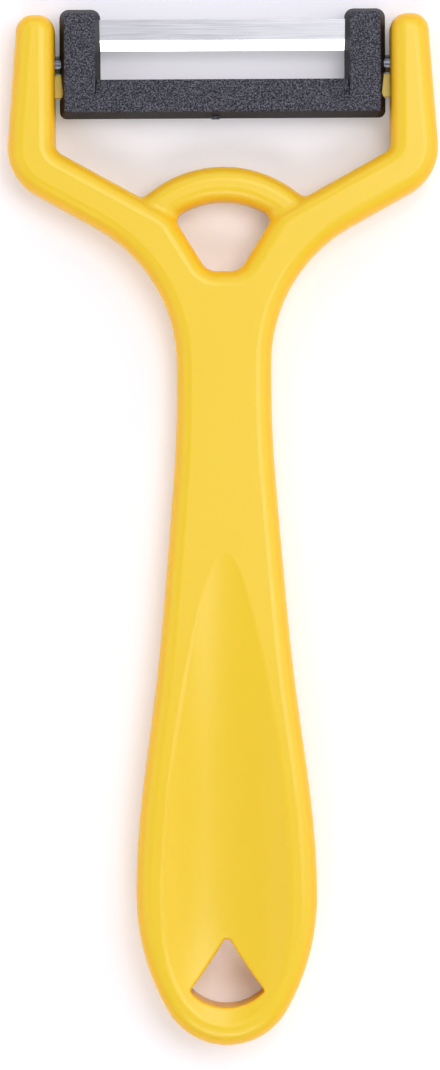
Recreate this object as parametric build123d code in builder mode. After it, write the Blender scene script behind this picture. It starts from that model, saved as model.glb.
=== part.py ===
from build123d import *
from math import asin, cos, degrees, radians, sin, sqrt, tan
import os

# A Y-shaped vegetable peeler that lies on its back. X runs across the fork, Y along the handle
# towards the blade, and Z up from the back of the handle. All lengths are millimetres.
# The origin is the middle of the whole length, on the flat back.

# Handle, measured from its tail end along the middle line.
tail_radius = 10.5
tail_turn = 60
belly_radius = 35.6
grip_mid_from_tail = 54.5
grip_mid_half = 10.75
grip_end_from_tail = 79.0
grip_end_half = 8.45
neck_from_tail = 100.0
neck_length = 4.5
neck_half = 7.28
flare_radius = 24.0
shoulder_slope = 29.2
shoulder_inner_slope = 28.9
arch_top_from_tail = 134.8
arch_radius = 18.2
arch_band = 5.4
arch_front_drop = 1.0
arch_back_drop = 0.6
arch_edge_radius = 2.2
arch_root_radius = 1.5
arch_root_reach = 2.2

# Fork arms.
arm_gap_half = 25.77
elbow_above_arch = 2.5
elbow_width = 7.67
elbow_outer_radius = 8.0
elbow_inner_radius = 2.0
arm_above_arch = 23.4
arm_tip_width = 5.75
arm_tip_radius = 2.6

# Thicknesses of the handle and the rounding of its long edges, which takes at most this share of
# the wall that it runs along.
grip_thickness = 10.5
fork_thickness = 8.6
grip_flat_from_tail = 38.0
edge_radius = 2.4
rounding_share = 0.45

# Window under the arch.
window_bottom_below_arch = 16.1
window_bottom_half = 2.5
window_top_half = 7.6
window_bottom_radius = 2.6
notch_radius = 6.0

# Hanging hole, a fan with its point towards the blade.
hole_bottom_from_tail = 5.85
hole_corner_from_tail = 8.4
hole_point_from_tail = 16.9
hole_half = 5.75
hole_side_bow = 0.2
hole_corner_radius = 0.5
hole_point_radius = 0.7
hole_edge_radius = 0.5

# Thumb dish in the front of the grip.
dish_tail_gap = 3.2
dish_depth = 2.4
dish_deepest_from_tail = 22.0
dish_mid_from_tail = 50.0
dish_mid_depth = 1.5
dish_end_from_tail = 100.0
dish_end_depth = 1.2
dish_rim_width = 4.1
dish_heel_slope = 20
dish_edge_radius = 2.0

# Pivot of the blade carrier.
pivot_above_arch = 15.85
swing_limit = 22
pin_radius = 1.35
pin_shank_radius = 1.0
pin_shank_length = 3.2
pin_chamfer = 0.3
socket_depth = 2.9
socket_end_gap = 0.3
pin_clearance = 0.05
carrier_side_gap = 0.7

# Stop lugs inside the arms, and the pockets in the carrier that swing round them.
lug_inner_radius = 1.65
lug_outer_radius = 5.2
lug_half_angle = 7
lug_reach_into_leg = 0.55
pocket_floor_gap = 0.25
pocket_radial_gap = 0.2
pocket_angle_gap = 0.6

# Blade carrier.
leg_width = 6.3
leg_above_pivot = 8.5
carrier_below_pivot = 8.35
carrier_thickness = 7.2
bar_width = 5.9
leg_tip_radius = 1.45
carrier_corner_radius = 1.1
carrier_draft = 13
carrier_edge_radius = 0.35
bar_slope_depth = 1.6
bar_slope_length = 3.4
bar_back_recess = 3.1
gate_mark_length = 1.3
gate_mark_height = 0.15
gate_mark_thickness = 1.2
gate_mark_offset = 1.1

# Blade.
blade_width = 4.8
blade_thickness = 0.55
blade_bevel_width = 1.6
blade_edge_land = 0.06
blade_edge_above_pivot = 2.1
blade_edge_below_axis = 0.3
blade_tilt = 4
blade_end_depth = 4.0
blade_anchor_radius = 0.9

# One overrun serves every cut.
overrun = 2.0

# Places worked out from the sizes above.
overall_length = arch_top_from_tail + pivot_above_arch + leg_above_pivot
tail_y = -overall_length / 2
arch_top_y = tail_y + arch_top_from_tail
arch_centre_y = arch_top_y - arch_radius
pivot_y = arch_top_y + pivot_above_arch
pivot_z = fork_thickness / 2
window_top_y = arch_centre_y + sqrt((arch_radius - arch_band)**2 - window_top_half**2)
window_bottom_y = arch_top_y - window_bottom_below_arch
elbow_inner_y = arch_top_y + elbow_above_arch
shoulder_rise = tan(radians(shoulder_inner_slope))
shoulder_foot_y = elbow_inner_y - shoulder_rise * arm_gap_half
window_rise = (window_top_y - window_bottom_y) / (window_top_half - window_bottom_half)
window_foot_y = window_bottom_y - window_rise * window_bottom_half
notch_x = (shoulder_foot_y - window_foot_y) / (window_rise - shoulder_rise)
notch_y = shoulder_foot_y + shoulder_rise * notch_x
foot_above_centre = shoulder_foot_y - arch_centre_y
valley_reach = sqrt(arch_radius**2 * (1 + shoulder_rise**2) - foot_above_centre**2)
valley_x = (valley_reach - shoulder_rise * foot_above_centre) / (1 + shoulder_rise**2)
arch_turn = asin(valley_x / arch_radius) + arch_root_reach / arch_radius
arch_thickness = fork_thickness - arch_front_drop - arch_back_drop
arch_rounding = min(arch_edge_radius, rounding_share * min(arch_band, arch_thickness))
arm_tip_y = arch_top_y + arm_above_arch
arm_tip_half = arm_gap_half + arm_tip_width
arm_tip_rounding = min(arm_tip_radius, rounding_share * arm_tip_width)
edge_rounding = min(edge_radius, rounding_share * min(arm_tip_width, fork_thickness))
neck_start_y = tail_y + neck_from_tail
flare_start_y = neck_start_y + neck_length
flare_turn = 90 - shoulder_slope
flare_end_x = neck_half + flare_radius * (1 - cos(radians(flare_turn)))
flare_end_y = flare_start_y + flare_radius * sin(radians(flare_turn))
elbow_half = arm_gap_half + elbow_width
elbow_outer_y = flare_end_y + (elbow_half - flare_end_x) * tan(radians(shoulder_slope))
belly_half = tail_radius * sin(radians(tail_turn)) + belly_radius * (1 - sin(radians(tail_turn)))
dish_half = belly_half - dish_rim_width
dish_cross_radius = (dish_half**2 + dish_depth**2) / (2 * dish_depth)
pivot_plane = Plane(origin=(0, pivot_y, pivot_z), x_dir=(0, 1, 0), z_dir=(1, 0, 0))
carrier_half = arm_gap_half - carrier_side_gap
opening_half = carrier_half - leg_width
carrier_top_y = pivot_y + leg_above_pivot
carrier_bottom_y = pivot_y - carrier_below_pivot
bar_top_y = carrier_bottom_y + bar_width
carrier_front_z = pivot_z + carrier_thickness / 2
carrier_back_z = pivot_z - carrier_thickness / 2
bar_back_z = carrier_back_z + bar_back_recess
carrier_draft_inset = carrier_thickness / 2 * tan(radians(carrier_draft))
bar_slope_y = bar_top_y - bar_slope_length
bar_root_y = bar_slope_y - carrier_draft_inset
bar_back_half = opening_half + carrier_edge_radius
blade_edge_y = pivot_y + blade_edge_above_pivot
blade_edge_z = pivot_z - blade_edge_below_axis
blade_rise = (cos(radians(blade_tilt)), sin(radians(blade_tilt)))
blade_section = Plane(origin=(0, blade_edge_y, blade_edge_z), x_dir=(0, *blade_rise), z_dir=(1, 0, 0))
blade_flat = Plane(
    origin=(0, blade_edge_y, blade_edge_z),
    x_dir=(1, 0, 0),
    z_dir=(0, -blade_rise[1], blade_rise[0]),
)
blade_half_length = opening_half + blade_end_depth
blade_anchor_x = opening_half + blade_end_depth / 2
blade_anchor_y = (blade_bevel_width + blade_width) / 2
sides = (-1, 1)


def ring_sector(inner_radius, outer_radius, half_angle):
    """Outline of the piece of a ring round the pivot that lies towards the tail."""
    with BuildLine() as outline:
        outer = CenterArc((0, 0), outer_radius, 180 - half_angle, 2 * half_angle)
        inner = CenterArc((0, 0), inner_radius, 180 - half_angle, 2 * half_angle)
        Line(outer @ 0, inner @ 0)
        Line(outer @ 1, inner @ 1)
    return outline.edges()


# Handle: the outline of the Y is drawn for the right half, with the window as an open notch, then
# mirrored, and raised to the full thickness.
with BuildPart() as handle:
    with BuildSketch(Plane.XY):
        with BuildLine():
            tail_arc = CenterArc((0, tail_y + tail_radius), tail_radius, -90, tail_turn)
            belly_arc = JernArc(tail_arc @ 1, tail_arc % 1, belly_radius, 90 - tail_turn)
            grip_side = Spline(
                belly_arc @ 1,
                (grip_mid_half, tail_y + grip_mid_from_tail),
                (grip_end_half, tail_y + grip_end_from_tail),
                (neck_half, neck_start_y),
                tangents=((0, 1), (0, 1)),
            )
            Line(grip_side @ 1, (neck_half, flare_start_y))
            flare = JernArc((neck_half, flare_start_y), (0, 1), flare_radius, -flare_turn)
            FilletPolyline(
                flare @ 1,
                (elbow_half, elbow_outer_y),
                (arm_tip_half, arm_tip_y),
                (arm_gap_half, arm_tip_y),
                (arm_gap_half, elbow_inner_y),
                (notch_x, notch_y),
                (window_bottom_half, window_bottom_y),
                (0, window_bottom_y),
                radius=(
                    elbow_outer_radius,
                    arm_tip_rounding,
                    arm_tip_rounding,
                    elbow_inner_radius,
                    notch_radius,
                    window_bottom_radius,
                ),
            )
            mirror(about=Plane.YZ)
        make_face()
    extrude(amount=grip_thickness)

    # The front drops from the grip to the thinner neck and fork in one soft curve.
    with BuildSketch(Plane.YZ):
        with BuildLine():
            grip_line = Line(
                (tail_y - overrun, grip_thickness),
                (tail_y + grip_flat_from_tail, grip_thickness),
            )
            drop = Spline(
                grip_line @ 1,
                (flare_start_y, fork_thickness),
                tangents=((1, 0), (1, 0)),
            )
            Polyline(
                drop @ 1,
                (arm_tip_y + overrun, fork_thickness),
                (arm_tip_y + overrun, 0),
                (tail_y - overrun, 0),
                grip_line @ 0,
            )
        make_face()
    extrude(amount=elbow_half + overrun, both=True, mode=Mode.INTERSECT)

    # Every long edge is rounded, front and back, but not the two seams across the front where it
    # starts and ends its drop.
    rims = edges().filter_by(Axis.Z, reverse=True)
    seams = rims.filter_by(Axis.X).filter_by_position(Axis.Y, tail_y, flare_start_y + overrun)
    fillet(rims - seams, edge_rounding)

    # Arch: a rib of rounded section, turned about the arch's centre. It is a little thinner than the
    # Y, front and back, closes the window, and blends into the shoulders at its roots.
    arch_start = Plane(
        origin=(0, arch_centre_y, 0),
        x_dir=(sin(arch_turn), cos(arch_turn), 0),
        z_dir=(cos(arch_turn), -sin(arch_turn), 0),
    )
    with BuildSketch(arch_start):
        with Locations((arch_radius - arch_band / 2, arch_back_drop + arch_thickness / 2)):
            RectangleRounded(arch_band, arch_thickness, arch_rounding)
    revolve(axis=Axis((0, arch_centre_y, 0), (0, 0, 1)), revolution_arc=2 * degrees(arch_turn))
    arch_roots = edges(Select.NEW)
    fillet(arch_roots, arch_root_radius)

    # Thumb dish: a shallow hollow of round section, turned about a line high above the grip.
    with BuildSketch(Plane.YZ):
        with BuildLine():
            dish_axis_z = grip_thickness - dish_depth + dish_cross_radius
            dish_heel = (tail_y + dish_tail_gap, grip_thickness)
            dish_deepest = (tail_y + dish_deepest_from_tail, grip_thickness - dish_depth)
            dish_end = (tail_y + dish_end_from_tail, grip_thickness - dish_end_depth)
            Spline(
                dish_heel,
                dish_deepest,
                tangents=((cos(radians(dish_heel_slope)), -sin(radians(dish_heel_slope))), (1, 0)),
            )
            Spline(
                dish_deepest,
                (tail_y + dish_mid_from_tail, grip_thickness - dish_mid_depth),
                dish_end,
                tangents=((1, 0), (1, 0)),
            )
            Polyline(dish_end, (dish_end[0], dish_axis_z), (dish_heel[0], dish_axis_z), dish_heel)
        make_face()
    dish_axis = Axis((0, 0, dish_axis_z), (0, 1, 0))
    revolve(axis=dish_axis, mode=Mode.SUBTRACT)
    crest = edges(Select.LAST).filter_by(lambda rim: rim.bounding_box().max.Z > fork_thickness)
    fillet(crest, dish_edge_radius)

    # Hanging hole through the tail, a fan with slightly hollow sides.
    with BuildSketch(Plane.XY):
        with BuildLine():
            hole_point = (0, tail_y + hole_point_from_tail)
            hole_left = (-hole_half, tail_y + hole_corner_from_tail)
            hole_right = (hole_half, tail_y + hole_corner_from_tail)
            SagittaArc(hole_point, hole_right, -hole_side_bow)
            ThreePointArc(hole_right, (0, tail_y + hole_bottom_from_tail), hole_left)
            SagittaArc(hole_left, hole_point, -hole_side_bow)
        make_face()
        fillet(vertices().group_by(Axis.Y)[-1], hole_point_radius)
        fillet(vertices().group_by(Axis.Y)[0], hole_corner_radius)
    extrude(amount=grip_thickness, mode=Mode.SUBTRACT)
    hole_rims = edges(Select.LAST).filter_by(Axis.Z, reverse=True)
    fillet(hole_rims, hole_edge_radius)

    # Each arm has a blind socket for its pivot pin, and a stop lug just below it.
    for side in sides:
        with BuildSketch(pivot_plane.offset(side * arm_gap_half)):
            Circle(pin_radius + pin_clearance)
        extrude(amount=side * socket_depth, mode=Mode.SUBTRACT)
        with BuildSketch(pivot_plane.offset(side * (arm_gap_half + overrun))):
            make_face(ring_sector(lug_inner_radius, lug_outer_radius, lug_half_angle))
        extrude(amount=-side * (overrun + carrier_side_gap + lug_reach_into_leg))

# Blade: a steel strip with a single ground bevel, drawn from its cutting edge and tilted so that
# the edge dips. Its ends have holes that the plastic of the carrier runs through.
with BuildPart() as blade:
    with BuildSketch(blade_section):
        with BuildLine():
            Polyline(
                (0, 0),
                (blade_width, 0),
                (blade_width, blade_thickness),
                (blade_bevel_width, blade_thickness),
                (0, blade_edge_land),
                close=True,
            )
        make_face()
    extrude(amount=blade_half_length, both=True)
    with BuildSketch(blade_flat):
        with Locations(*[(side * blade_anchor_x, blade_anchor_y) for side in sides]):
            Circle(blade_anchor_radius)
    extrude(amount=blade_thickness, mode=Mode.SUBTRACT)

# Blade carrier: a U of two legs and a bar, moulded round the ends of the blade. Its walls lean in
# from a parting line at mid depth, so that it leaves its mould.
with BuildPart() as blade_carrier:
    with BuildSketch(Plane.XY.offset(pivot_z)):
        with Locations((0, (carrier_bottom_y + carrier_top_y) / 2)):
            Rectangle(2 * carrier_half, carrier_top_y - carrier_bottom_y)
        fillet(vertices().group_by(Axis.Y)[0], carrier_corner_radius)
        with Locations((0, bar_root_y)):
            Rectangle(
                2 * opening_half,
                carrier_top_y - bar_root_y + overrun,
                align=(Align.CENTER, Align.MIN),
                mode=Mode.SUBTRACT,
            )
        fillet(vertices().group_by(Axis.Y)[-1], leg_tip_radius)
    extrude(amount=carrier_thickness / 2, both=True, taper=carrier_draft)

    # The bar's lip slopes away in front, towards the peel slot, and leaves the inner walls of the
    # legs standing as narrow wedges.
    with BuildSketch(Plane.YZ):
        with BuildLine():
            Polyline(
                (bar_root_y - carrier_draft_inset, carrier_front_z),
                (bar_slope_y, carrier_front_z),
                (bar_top_y, carrier_front_z - bar_slope_depth),
                (bar_top_y, carrier_back_z),
                (bar_root_y - carrier_draft_inset, carrier_back_z),
                close=True,
            )
        make_face()
    extrude(amount=opening_half + carrier_draft_inset + carrier_edge_radius, both=True)

    carrier_rims = faces().filter_by(Axis.Z).edges()
    slope_starts = carrier_rims.filter_by(Axis.X).filter_by_position(Axis.Y, bar_root_y, bar_top_y)
    fillet(carrier_rims - slope_starts, carrier_edge_radius)

    # The bar is thinner than the legs. Its back is about level with the blade, so that what is
    # peeled comes up between the legs to the cutting edge.
    with BuildSketch(Plane.XY.offset(bar_back_z)):
        with Locations((0, bar_top_y + carrier_edge_radius)):
            Rectangle(2 * bar_back_half, bar_width + overrun, align=(Align.CENTER, Align.MAX))
    extrude(amount=-(bar_back_recess + overrun), taper=-carrier_draft, mode=Mode.SUBTRACT)

    # Bores for the pivot pins, and pockets that swing round the stop lugs.
    for side in sides:
        with BuildSketch(pivot_plane.offset(side * carrier_half)):
            Circle(pin_shank_radius)
        extrude(amount=-side * pin_shank_length, mode=Mode.SUBTRACT)
        with BuildSketch(pivot_plane.offset(side * (carrier_half + overrun))):
            make_face(
                ring_sector(
                    lug_inner_radius - pocket_radial_gap,
                    lug_outer_radius + pocket_radial_gap,
                    lug_half_angle + swing_limit + pocket_angle_gap,
                )
            )
        extrude(amount=-side * (overrun + lug_reach_into_leg + pocket_floor_gap), mode=Mode.SUBTRACT)

    # Small stub left by the moulding gate under the bar.
    with Locations((-gate_mark_offset, carrier_bottom_y - gate_mark_height, pivot_z)):
        Box(
            gate_mark_length,
            gate_mark_height + carrier_draft_inset,
            gate_mark_thickness,
            align=(Align.CENTER, Align.MIN, Align.MIN),
        )
    add(blade.part, mode=Mode.SUBTRACT)

# Pivot pins: a shank pressed into the leg and a thicker journal that turns in the arm.
pivot_pins = {}
for side, pin_name in ((-1, "pivot_pin_left"), (1, "pivot_pin_right")):
    with BuildPart() as pivot_pin:
        with BuildSketch(pivot_plane.offset(side * carrier_half)):
            Circle(pin_shank_radius)
        extrude(amount=-side * pin_shank_length)
        with BuildSketch(pivot_plane.offset(side * carrier_half)):
            Circle(pin_radius)
        extrude(amount=side * (carrier_side_gap + socket_depth - socket_end_gap))
        chamfer(edges().sort_by(Axis.X)[0 if side < 0 else -1], pin_chamfer)
    pivot_pins[pin_name] = pivot_pin

handle.part.label = "handle"
blade.part.label = "blade"
blade_carrier.part.label = "blade_carrier"
os.makedirs("parts", exist_ok=True)
export_step(handle.part, "parts/handle.step")
export_step(blade.part, "parts/blade.step")
export_step(blade_carrier.part, "parts/blade_carrier.step")
for pin_name, pivot_pin in pivot_pins.items():
    pivot_pin.part.label = pin_name
    export_step(pivot_pin.part, f"parts/{pin_name}.step")
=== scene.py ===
# %% [markdown]
# # A vegetable peeler with a swivelling blade
#
# The peeler is five pieces: a yellow plastic handle shaped like a Y, a black plastic carrier that
# swivels between the arms of the Y, a steel blade held in the carrier, and two short steel pins
# that the carrier turns on. Their shapes come finished from the CAD model. This lesson lights them,
# puts a camera over them, and gives each piece the finish that it has on the real peeler.

# %% Load the frame
import math

import bmesh
import bpy
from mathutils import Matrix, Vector


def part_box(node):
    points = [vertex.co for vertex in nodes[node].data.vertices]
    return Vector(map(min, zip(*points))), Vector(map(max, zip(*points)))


MILLIMETRE = 0.001

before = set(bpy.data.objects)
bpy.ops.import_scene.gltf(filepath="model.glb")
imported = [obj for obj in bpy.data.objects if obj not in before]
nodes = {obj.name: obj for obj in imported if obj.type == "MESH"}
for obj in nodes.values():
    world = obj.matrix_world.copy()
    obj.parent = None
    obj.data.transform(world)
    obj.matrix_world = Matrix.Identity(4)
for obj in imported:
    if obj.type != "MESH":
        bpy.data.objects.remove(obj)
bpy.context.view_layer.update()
scene = bpy.context.scene
print("pieces:", sorted(nodes))

# %% [markdown]
# ## The camera
#
# A flat tool that lies on a table is best seen from straight above. A short lens would show the
# inner walls of the window and of the hanging hole, and none are seen, so the camera stands far off
# with a long lens. The sensor's long side covers the picture's height, so one division gives the
# distance at which the peeler fills the picture, measured from the middle of its thickness. A
# camera is never quite straight, so this one is rolled by a trace.

# %% Put the camera straight above
PICTURE_HEIGHT = 164.6 * MILLIMETRE
PICTURE_CENTRE = Vector((-0.75, -1.4, 5.0)) * MILLIMETRE
CAMERA_LENS = 175.0
CAMERA_SENSOR = 36.0
CAMERA_ROLL = math.radians(-0.3)
NEAREST_SEEN = 0.01
FARTHEST_SEEN = 20.0

camera_distance = PICTURE_HEIGHT * CAMERA_LENS / CAMERA_SENSOR
camera_data = bpy.data.cameras.new("overhead_camera")
camera_data.lens = CAMERA_LENS
camera_data.sensor_width = CAMERA_SENSOR
camera_data.clip_start = NEAREST_SEEN
camera_data.clip_end = FARTHEST_SEEN
camera = bpy.data.objects.new("overhead_camera", camera_data)
camera.location = PICTURE_CENTRE + Vector((0.0, 0.0, camera_distance))
camera.rotation_euler = (0.0, 0.0, CAMERA_ROLL)
scene.collection.objects.link(camera)
scene.camera = camera
print("camera distance in metres:", round(camera_distance, 3))

# %% [markdown]
# ## The light
#
# Glossy plastic shows its shape through what it reflects, so each lamp is a large soft panel, as in
# a light tent. The main one hangs beyond the blade and to the right, and its near edge ends just
# beside the camera. The level front of the fork mirrors that edge, which is why its right arm is
# paler than its left one. A panel at the tail whitens the ground bevel of the blade, a low one
# beyond the blade throws the bar's shadow towards the grip, and one on each side lights the rounded
# edges. Each panel is given the share of light that it adds on a level surface. The shares and the
# walls' light come to a little over 1, so a colour renders about as it is written.

# %% Hang the soft panels
PANEL_DISTANCE = 0.85
WHITE_LIGHT = (1.0, 1.0, 1.0)
WARM_LIGHT = (1.0, 0.99, 0.97)
COOL_LIGHT = (0.97, 0.98, 1.0)


def hang_panel(name, bearing, lean, width, height, share, colour=WHITE_LIGHT):
    """Hangs a soft panel, leaning from overhead, on a bearing clockwise from the blade's end."""
    bearing, lean = math.radians(bearing), math.radians(lean)
    sideways = math.sin(lean)
    outwards = Vector((math.sin(bearing) * sideways, math.cos(bearing) * sideways, math.cos(lean)))
    data = bpy.data.lights.new(name, "AREA")
    data.shape = "RECTANGLE"
    data.size = width
    data.size_y = height
    # A lamp of power P adds about P * cos(lean) / (pi * distance) ** 2 to a white level surface.
    data.energy = share * (math.pi * PANEL_DISTANCE) ** 2 / math.cos(lean)
    data.color = colour
    panel = bpy.data.objects.new(name, data)
    panel.location = outwards * PANEL_DISTANCE
    panel.rotation_euler = (-outwards).to_track_quat("-Z", "Y").to_euler()
    panel.visible_camera = False
    scene.collection.objects.link(panel)
    print(name, "brightness:", round(data.energy / (math.pi * width * height), 2))


hang_panel("panel_blade_side", bearing=48, lean=20, width=0.58, height=0.40, share=0.37)
hang_panel("panel_head_side", bearing=0, lean=52, width=0.90, height=0.28, share=0.10)
hang_panel("panel_tail_side", bearing=185, lean=38, width=0.50, height=0.28, share=0.20)
hang_panel(
    "panel_right", bearing=88, lean=60, width=0.75, height=0.70, share=0.11, colour=WARM_LIGHT
)
hang_panel(
    "panel_left", bearing=275, lean=55, width=0.75, height=0.70, share=0.10, colour=COOL_LIGHT
)

# %% [markdown]
# ## The room
#
# Past the panels the peeler stands in a room, which is the world's shader. It is drawn in three
# ways, by the kind of ray that asks. A world or a material is a tree of nodes. Written plainly, a
# node takes a line to add it, a line for each of its values and a line for each link. One helper
# does all of that: what it is given for a socket is a value or another node's output, and an output
# is linked. Each node also gets a label in plain words, so that the tree can be read in Blender.


# %% Tell the rays apart
def add_node(tree, kind, title, inputs=None, **options):
    """Adds a node with these options, and gives each named input a value or a link."""
    node = tree.nodes.new(kind)
    node.label = title
    for option, value in options.items():
        setattr(node, option, value)
    for socket, value in (inputs or {}).items():
        if isinstance(value, bpy.types.NodeSocket):
            tree.links.new(value, node.inputs[socket])
        else:
            node.inputs[socket].default_value = value
    return node


def compute(tree, title, operation, first, second=0.0):
    """One sum on one or two values."""
    inputs = {0: first, 1: second}
    return add_node(tree, "ShaderNodeMath", title, inputs, operation=operation).outputs[0]


world = bpy.data.worlds.new("studio")
scene.world = world
world.use_nodes = True
tree = world.node_tree
tree.nodes.clear()

rays = add_node(tree, "ShaderNodeLightPath", "which rays").outputs
mirrored = compute(
    tree, "mirrored or seen through", "MAXIMUM", rays["Is Glossy Ray"], rays["Is Transmission Ray"]
)
print("world:", world.name, "nodes so far:", len(tree.nodes))

# %% [markdown]
# Where the room lights the scene, its low walls are bright and its ceiling is dim, because the
# panels already light from above: low light reaches the steep edges of the handle, which would turn
# brown without it. Where a glossy surface mirrors the room, it is a white ceiling over dimmer
# walls. Both change with height only, which is 0 at the horizon and 1 straight overhead.

# %% Shade the room by height
WALL_LIGHT = 1.5
CEILING_LIGHT = 0.05
WALL_FADE = (0.3, 0.5)
MIRRORED_WALL = 0.15
MIRRORED_CEILING = 1.0
MIRRORED_FADE = (0.3, 0.95)
FULL_RANGE = (0.0, 1.0)


def map_range(tree, title, value, span=FULL_RANGE, reach=FULL_RANGE, interpolation="LINEAR"):
    """Goes from one end of the reach to the other as the value goes through the span."""
    inputs = {
        "Value": value,
        "From Min": span[0],
        "From Max": span[1],
        "To Min": reach[0],
        "To Max": reach[1],
    }
    node = add_node(tree, "ShaderNodeMapRange", title, inputs, interpolation_type=interpolation)
    return node.outputs[0]


direction = add_node(tree, "ShaderNodeTexCoord", "direction").outputs["Generated"]
height = add_node(tree, "ShaderNodeSeparateXYZ", "height", {0: direction}).outputs["Z"]
low_light = map_range(tree, "bright low walls", height, WALL_FADE, (WALL_LIGHT, CEILING_LIGHT))
mirror_light = map_range(
    tree, "white ceiling, dimmer walls", height, MIRRORED_FADE, (MIRRORED_WALL, MIRRORED_CEILING)
)
print("walls that light:", WALL_LIGHT, "walls in a mirror:", MIRRORED_WALL)

# %% [markdown]
# Where the camera sees the room, it is plain white. Two mixes choose among the three rooms.

# %% Show each ray its room
ROOM_TINT = (0.94, 0.93, 1.0, 1.0)
PURE_WHITE = (1.0, 1.0, 1.0, 1.0)
WHITE_STRENGTH = 1.0


def add_room(tree, title, colour, strength):
    """One way to draw the room."""
    inputs = {"Color": colour, "Strength": strength}
    return add_node(tree, "ShaderNodeBackground", title, inputs).outputs[0]


def choose_shader(tree, title, mask, first, second):
    """Shows the first shader where the mask is 0, and the second where it is 1."""
    inputs = {0: mask, 1: first, 2: second}
    return add_node(tree, "ShaderNodeMixShader", title, inputs).outputs[0]


lighting_room = add_room(tree, "room that lights", ROOM_TINT, low_light)
mirrored_room = add_room(tree, "mirrored room", PURE_WHITE, mirror_light)
white_room = add_room(tree, "white room", PURE_WHITE, WHITE_STRENGTH)
unseen_room = choose_shader(tree, "lit or mirrored", mirrored, lighting_room, mirrored_room)
room = choose_shader(tree, "or seen", rays["Is Camera Ray"], unseen_room, white_room)
add_node(tree, "ShaderNodeOutputWorld", "world", {"Surface": room})
print("world:", world.name, "nodes in the end:", len(tree.nodes))

# %% [markdown]
# ## The floor
#
# The peeler lies on its flat back on a white sheet, a hair's breadth above it, because two surfaces
# in the same place would fight over each pixel. The sheet catches the peeler's soft shadow and the
# yellow light that its sides throw.

# %% Lay the floor
FLOOR_HALF = 3.0
FLOOR_GAP = 0.02 * MILLIMETRE

floor_mesh = bpy.data.meshes.new("floor")
sheet = bmesh.new()
bmesh.ops.create_grid(sheet, x_segments=1, y_segments=1, size=FLOOR_HALF)
sheet.to_mesh(floor_mesh)
sheet.free()
floor = bpy.data.objects.new("floor", floor_mesh)
floor.location.z = -FLOOR_GAP
scene.collection.objects.link(floor)
print("floor reaches", FLOOR_HALF, "metres each way")

# %% [markdown]
# Paper is matt and, because its fibres clump, not quite even, so soft noise takes it from one white
# to another. What a camera sees of it is lifted a little, by a faint glow that only camera rays
# meet, so that the sheet is white and the glow lights nothing.

# %% Make the floor's paper
PAPER_WHITES = ((0.92, 0.90, 0.97, 1.0), (0.96, 0.94, 1.0, 1.0))
CLUMPS_PER_METRE = 900.0
CLUMP_DETAIL = 4.0
GLOW_COLOUR = (0.9, 0.95, 1.0, 1.0)
GLOW_STRENGTH = 0.15


def new_material(name):
    """A material with an empty tree, that tree, and the outputs that say where a point is."""
    material = bpy.data.materials.new(name)
    material.use_nodes = True
    tree = material.node_tree
    tree.nodes.clear()
    coordinates = add_node(tree, "ShaderNodeTexCoord", "place and direction").outputs
    return material, tree, coordinates


def add_noise(tree, title, place, per_metre, detail, roughness=0.5):
    """Cloudy noise with about this many clouds in a metre."""
    inputs = {"Vector": place, "Scale": per_metre, "Detail": detail, "Roughness": roughness}
    return add_node(tree, "ShaderNodeTexNoise", title, inputs).outputs[0]


def mix_colours(tree, title, mask, first, second):
    """Goes from the first colour to the second as the mask goes from 0 to 1."""
    inputs = {"Factor": mask, "A": first, "B": second}
    return add_node(tree, "ShaderNodeMix", title, inputs, data_type="RGBA").outputs["Result"]


white_paper, tree, coordinates = new_material("white_paper")
clumps = add_noise(tree, "clumps", coordinates["Object"], CLUMPS_PER_METRE, CLUMP_DETAIL)
paper_white = mix_colours(tree, "paper white", clumps, *PAPER_WHITES)
paper = add_node(tree, "ShaderNodeBsdfDiffuse", "paper", {"Color": paper_white})
seen = add_node(tree, "ShaderNodeLightPath", "which rays").outputs["Is Camera Ray"]
lift = compute(tree, "lift for the camera", "MULTIPLY", seen, GLOW_STRENGTH)
glow = add_node(tree, "ShaderNodeEmission", "glow", {"Color": GLOW_COLOUR, "Strength": lift})
paper_and_glow = {0: paper.outputs[0], 1: glow.outputs[0]}
surface = add_node(tree, "ShaderNodeAddShader", "paper and glow", paper_and_glow)
add_node(tree, "ShaderNodeOutputMaterial", "floor", {"Surface": surface.outputs[0]})
floor_mesh.materials.append(white_paper)
print("material:", white_paper.name, "nodes:", len(tree.nodes))

# %% [markdown]
# ## Effects that several finishes share
#
# Two effects come back on several pieces. Each is built once, as a node group, and each material
# places it with values of its own.
#
# The first is streaks: noise that is drawn out many times in one direction. On the handle they are
# hairlines from a drawer or a dish cloth, on the blade the lines of its brushing, and on the pins
# the rings that turning leaves. The mapping is of the texture kind, which turns before it draws
# out, so the streaks follow the turn.


# %% Build the group of streaks
def new_group(name, inputs):
    """An empty shader node group with these named inputs, and a mask to put out."""
    group = bpy.data.node_groups.new(name, "ShaderNodeTree")
    for label, kind in inputs.items():
        group.interface.new_socket(label, in_out="INPUT", socket_type=kind)
    group.interface.new_socket("Mask", in_out="OUTPUT", socket_type="NodeSocketFloat")
    given = group.nodes.new("NodeGroupInput").outputs
    result = group.nodes.new("NodeGroupOutput").inputs["Mask"]
    return group, given, result


streaks, given, result = new_group(
    "streaks",
    {
        "Place": "NodeSocketVector",
        "Turn": "NodeSocketVector",
        "Stretch": "NodeSocketVector",
        "Per Metre": "NodeSocketFloat",
        "Detail": "NodeSocketFloat",
    },
)
mapping = {"Vector": given["Place"], "Rotation": given["Turn"], "Scale": given["Stretch"]}
drawn_out = add_node(
    streaks, "ShaderNodeMapping", "turned and drawn out", mapping, vector_type="TEXTURE"
).outputs[0]
lines = add_noise(streaks, "lines", drawn_out, given["Per Metre"], given["Detail"])
streaks.links.new(lines, result)
print("group:", streaks.name, "nodes:", len(streaks.nodes))

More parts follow.
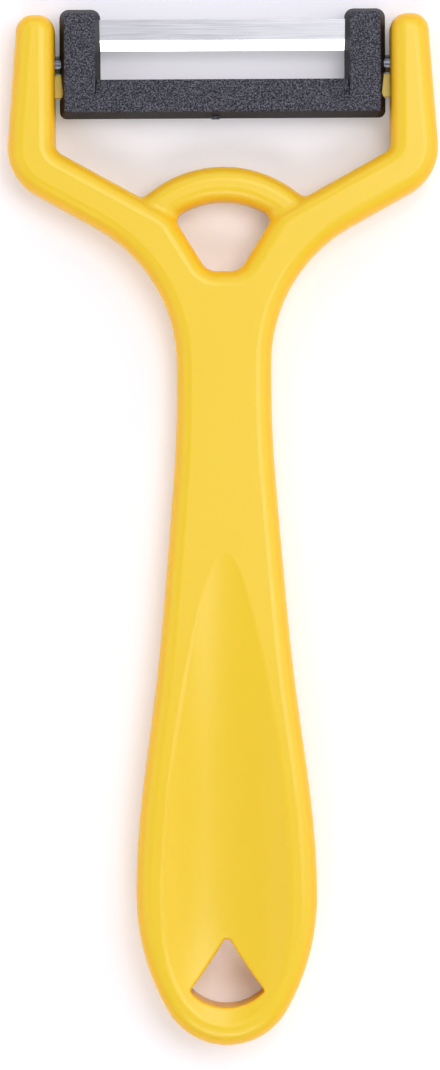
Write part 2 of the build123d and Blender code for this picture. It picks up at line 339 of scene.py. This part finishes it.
# %% [markdown]
# The second is a mask of the level faces, those that look up or down, told by the surface's own
# direction. The handle is painted a warm shade where it isn't level, and the carrier has its grain,
# with the light painted on it, only where it is.

# %% Build the group that finds level faces
level_faces, given, result = new_group(
    "level_faces",
    {"Direction": "NodeSocketVector", "Steep": "NodeSocketFloat", "Level": "NodeSocketFloat"},
)
facing = {0: given["Direction"]}
upwards = add_node(level_faces, "ShaderNodeSeparateXYZ", "how far up", facing).outputs["Z"]
upright = compute(level_faces, "up or down alike", "ABSOLUTE", upwards)
steep_to_level = (given["Steep"], given["Level"])
mask = map_range(level_faces, "level", upright, steep_to_level, interpolation="SMOOTHSTEP")
level_faces.links.new(mask, result)
print("group:", level_faces.name, "nodes:", len(level_faces.nodes))

# %% [markdown]
# ## The yellow handle
#
# The handle is one moulding of glossy plastic. The flow of the plastic in the mould leaves its
# colour a trace uneven, which broad noise between two yellows gives. The steep edges are painted a
# little more orange than the broad faces: a painted warm shade, for light that is dimmer there and
# that goes further through the plastic. The mask of level faces tells the two apart.

# %% Colour the handle
HANDLE_YELLOWS = ((0.845, 0.585, 0.016, 1.0), (0.865, 0.605, 0.022, 1.0))
# Painted shade: the orange that the steep edges are painted.
HANDLE_EDGE_PAINTED_SHADE = (0.91, 0.52, 0.013, 1.0)
HANDLE_STEEP = 0.6
HANDLE_LEVEL = 0.99
FLOWS_PER_METRE = 38.0
FLOW_DETAIL = 3.0


def find_level_faces(tree, title, coordinates, steep, level):
    """A mask that goes from 0 to 1 as the surface turns from this steep to this level."""
    inputs = {"Direction": coordinates["Normal"], "Steep": steep, "Level": level}
    group = add_node(tree, "ShaderNodeGroup", title, inputs, node_tree=level_faces)
    return group.outputs["Mask"]


handle_plastic, tree, coordinates = new_material("handle_plastic")
place = coordinates["Object"]
flow = add_noise(tree, "flow of the plastic", place, FLOWS_PER_METRE, FLOW_DETAIL)
yellow = mix_colours(tree, "yellow", flow, *HANDLE_YELLOWS)
broad = find_level_faces(tree, "broad face", coordinates, HANDLE_STEEP, HANDLE_LEVEL)
# Painted warm shade on the steep edges, over the plastic's own yellow on the broad faces.
handle_colour_and_painted_shade = mix_colours(tree, "painted warm shade at the edges", broad, HANDLE_EDGE_PAINTED_SHADE, yellow)
print("material:", handle_plastic.name, "nodes so far:", len(tree.nodes))

# %% [markdown]
# Use leaves hairlines on glossy plastic. They could be painted in an image, but streaks of noise
# have no seams and no pixels. A narrow range keeps only the tops of the streaks, and two sets that
# cross look like real wear. They make the gloss duller and leave the colour alone.

# %% Scratch the handle with hairlines
HAIRLINE_TURNS = (38.0, -57.0)
HAIRLINE_STRETCH = (80.0, 1.0, 1.0)
HAIRLINE_WIDTH = 0.12 * MILLIMETRE
HAIRLINE_DETAIL = 1.0
HAIRLINE_TOPS = (0.74, 0.82)
HANDLE_ROUGHNESS = (0.3, 0.42)


def add_streaks(tree, title, place, stretch, per_metre, detail, turn=0.0):
    """Streaks with values of their own, turned by degrees about the upright axis."""
    inputs = {
        "Place": place,
        "Turn": (0.0, 0.0, math.radians(turn)),
        "Stretch": stretch,
        "Per Metre": per_metre,
        "Detail": detail,
    }
    return add_node(tree, "ShaderNodeGroup", title, inputs, node_tree=streaks).outputs["Mask"]


hairlines_per_metre = 1.0 / HAIRLINE_WIDTH
hairlines = 0.0
for turn in HAIRLINE_TURNS:
    one_way = add_streaks(
        tree, "hairlines", place, HAIRLINE_STRETCH, hairlines_per_metre, HAIRLINE_DETAIL, turn
    )
    tops = map_range(tree, "only the tops", one_way, HAIRLINE_TOPS)
    hairlines = compute(tree, "both ways", "MAXIMUM", hairlines, tops)
handle_gloss = map_range(tree, "duller on a hairline", hairlines, reach=HANDLE_ROUGHNESS)
print("hairlines in a metre:", round(hairlines_per_metre))

# %% [markdown]
# The surface came from a polished mould, so it is smooth, but a real moulding is never quite flat:
# a broad, very shallow wave bends the reflections. The plastic is also a little milky: light goes
# in, wanders and comes out again, which keeps the slopes warm and bright where paint would turn
# brown. In Blender that is subsurface scattering, with a reach that is longest for red.

# %% Finish the handle's surface
WAVES_PER_METRE = 70.0
WAVE_DETAIL = 1.0
WAVE_STRENGTH = 0.25
WAVE_DEPTH = 0.12 * MILLIMETRE
HANDLE_IOR = 1.49
MILKINESS = 0.4
MILK_REACH = 0.8 * MILLIMETRE
MILK_REACH_SHARES = (1.0, 0.75, 0.35)


def add_bump(tree, title, height, strength, depth):
    """Bends the light as if the surface rose by this depth where the height is 1."""
    inputs = {"Height": height, "Strength": strength, "Distance": depth}
    return add_node(tree, "ShaderNodeBump", title, inputs).outputs[0]


def finish_surface(tree, inputs):
    """Ends a material's tree with a Principled shader that has these inputs."""
    shader = add_node(tree, "ShaderNodeBsdfPrincipled", "shader", inputs)
    add_node(tree, "ShaderNodeOutputMaterial", "surface", {"Surface": shader.outputs[0]})


wave = add_noise(tree, "wave of the surface", place, WAVES_PER_METRE, WAVE_DETAIL)
finish_surface(
    tree,
    {
        "Base Color": handle_colour_and_painted_shade,
        "Roughness": handle_gloss,
        "Normal": add_bump(tree, "shallow wave", wave, WAVE_STRENGTH, WAVE_DEPTH),
        "IOR": HANDLE_IOR,
        "Subsurface Weight": MILKINESS,
        "Subsurface Scale": MILK_REACH,
        "Subsurface Radius": MILK_REACH_SHARES,
    },
)
print("material:", handle_plastic.name, "nodes in the end:", len(tree.nodes))

# %% [markdown]
# ## The black carrier
#
# The carrier's mould was spark eroded on the faces that show from the front and the back, which
# leaves a fine even grain. The grain's greys are painted light: they stand in for the light that
# every tiny slope catches, which makes the grain look dark grey. Its side walls slid along polished
# steel and stayed smooth, and keep a darker near black, so the grain is kept where the surface is
# level. Grain this fine would make a very heavy mesh. Here one noise gives both its painted light
# and its pits, so the two agree.

# %% Make the carrier's plastic
GRAINS_PER_METRE = 4200.0
GRAIN_DETAIL = 2.0
GRAIN_ROUGHNESS = 0.6
GRAIN_SPAN = (0.42, 0.72)
GRAIN_STRENGTH = 1.0
GRAIN_DEPTH = 0.12 * MILLIMETRE
# Painted light on the grain, over the plastic's own near black.
GRAIN_AND_PAINTED_LIGHT_GREYS = ((0.016, 0.016, 0.020, 1.0), (0.225, 0.225, 0.285, 1.0))
SMOOTH_BLACK = (0.010, 0.009, 0.010, 1.0)
CARRIER_STEEP = 0.3
CARRIER_LEVEL = 0.6
CARRIER_ROUGHNESS = (0.45, 0.5)
CARRIER_SPECULAR = 0.12

carrier_plastic, tree, coordinates = new_material("carrier_plastic")
grained = find_level_faces(tree, "where the grain is", coordinates, CARRIER_STEEP, CARRIER_LEVEL)
leather = add_noise(
    tree, "leathery grain", coordinates["Object"], GRAINS_PER_METRE, GRAIN_DETAIL, GRAIN_ROUGHNESS
)
grain = map_range(tree, "deeper grain", leather, GRAIN_SPAN)
pits = compute(tree, "pits only where it is", "MULTIPLY", grain, grained)
# Painted light: the grain's greys stand in for the light that its tiny slopes catch.
grain_and_painted_light = mix_colours(tree, "grain", grain, *GRAIN_AND_PAINTED_LIGHT_GREYS)
finish_surface(
    tree,
    {
        "Base Color": mix_colours(tree, "smooth or grained", grained, SMOOTH_BLACK, grain_and_painted_light),
        "Roughness": map_range(tree, "gloss", grained, reach=CARRIER_ROUGHNESS),
        "Normal": add_bump(tree, "grain pits", pits, GRAIN_STRENGTH, GRAIN_DEPTH),
        "Specular IOR Level": CARRIER_SPECULAR,
    },
)
print("material:", carrier_plastic.name)

# %% [markdown]
# ## The steel blade
#
# The blade is rolled strip, brushed along its length, with a bevel ground along one edge. The
# grinding wheel leaves the bevel smoother than the flat. Its colours are partly painted reflection:
# the bevel is painted near white, as bright as the panel that it mirrors, and the flat a dimmer
# grey. The bevel could be given a material of its own, but the mesh is left alone, so it is told
# apart by its place: it is the strip nearest the bar, up to a line that runs along the blade.

# %% Make the blade's steel
BEVEL_WIDTH = 1.6 * MILLIMETRE
BEVEL_BLUR = 0.04 * MILLIMETRE
# Painted reflection: the bevel is painted near white and the flat a dimmer grey.
BEVEL_STEEL_PAINTED_BRIGHT = (0.86, 0.86, 0.87, 1.0)
FLAT_STEELS_PAINTED_DIM = ((0.22, 0.22, 0.245, 1.0), (0.53, 0.53, 0.57, 1.0))
BLADE_ROUGHNESS = (0.2, 0.28)
BLADE_METALLIC = 1.0
BRUSH_STRETCH = (50.0, 1.0, 1.0)
BRUSHES_PER_METRE = 6500.0
BRUSH_DETAIL = 4.0
BRUSH_STRENGTH = 0.35
BRUSH_DEPTH = 0.02 * MILLIMETRE

blade_low, blade_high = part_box("blade")
bevel_line = blade_low.y + BEVEL_WIDTH
bevel_end = (bevel_line - BEVEL_BLUR, bevel_line + BEVEL_BLUR)

blade_steel, tree, coordinates = new_material("blade_steel")
place = coordinates["Object"]
across = add_node(tree, "ShaderNodeSeparateXYZ", "place on the blade", {0: place}).outputs["Y"]
on_flat = map_range(tree, "flat, not bevel", across, bevel_end)
brushing = add_streaks(tree, "brushing", place, BRUSH_STRETCH, BRUSHES_PER_METRE, BRUSH_DETAIL)
# Painted reflection: the flat's brushed greys are painted dimmer than the bevel.
flat_steel_painted_dim = mix_colours(tree, "brushed steel", brushing, *FLAT_STEELS_PAINTED_DIM)
finish_surface(
    tree,
    {
        "Base Color": mix_colours(tree, "bevel or flat", on_flat, BEVEL_STEEL_PAINTED_BRIGHT, flat_steel_painted_dim),
        "Roughness": map_range(tree, "gloss of bevel and flat", on_flat, reach=BLADE_ROUGHNESS),
        "Normal": add_bump(tree, "brushed lines", brushing, BRUSH_STRENGTH, BRUSH_DEPTH),
        "Metallic": BLADE_METALLIC,
    },
)
bevel_share = BEVEL_WIDTH / (blade_high.y - blade_low.y)
print("material:", blade_steel.name, "share of bevel:", round(bevel_share, 2))

# %% [markdown]
# ## The pivot pins
#
# The pins are small turned steel studs, given a dark, faintly blue steel colour. Turning leaves
# rings round the pin, so the streaks are drawn out in both directions across its axis and stay
# short along it. The axis lies along X, and so the same material serves both pins.

# %% Make the pins' steel
PIN_STEELS = ((0.06, 0.062, 0.075, 1.0), (0.15, 0.155, 0.18, 1.0))
PIN_ROUGHNESS = (0.16, 0.3)
PIN_METALLIC = 0.85
RING_STRETCH = (1.0, 50.0, 50.0)
RINGS_PER_METRE = 6000.0
RING_DETAIL = 2.0
RING_STRENGTH = 0.3
RING_DEPTH = 0.02 * MILLIMETRE

pin_steel, tree, coordinates = new_material("pin_steel")
place = coordinates["Object"]
rings = add_streaks(tree, "turned rings", place, RING_STRETCH, RINGS_PER_METRE, RING_DETAIL)
finish_surface(
    tree,
    {
        "Base Color": mix_colours(tree, "dark steel", rings, *PIN_STEELS),
        "Roughness": map_range(tree, "gloss", rings, reach=PIN_ROUGHNESS),
        "Normal": add_bump(tree, "turned rings", rings, RING_STRENGTH, RING_DEPTH),
        "Metallic": PIN_METALLIC,
    },
)
print("material:", pin_steel.name)

# %% [markdown]
# ## Give each piece its finish
#
# The CAD pieces already have the right shape, so they stay as they are, and only their material
# slots are filled.

# %% Dress the pieces
finishes = {
    "handle": handle_plastic,
    "blade_carrier": carrier_plastic,
    "blade": blade_steel,
    "pivot_pin_left": pin_steel,
    "pivot_pin_right": pin_steel,
}
for name, finish in finishes.items():
    mesh = nodes[name].data
    mesh.materials.clear()
    mesh.materials.append(finish)
    print(name, "gets", finish.name)

# %% [markdown]
# ## Finish
#
# The last step sets the view transform to Standard.

# %% Set the view and finish
scene.view_settings.view_transform = "Standard"
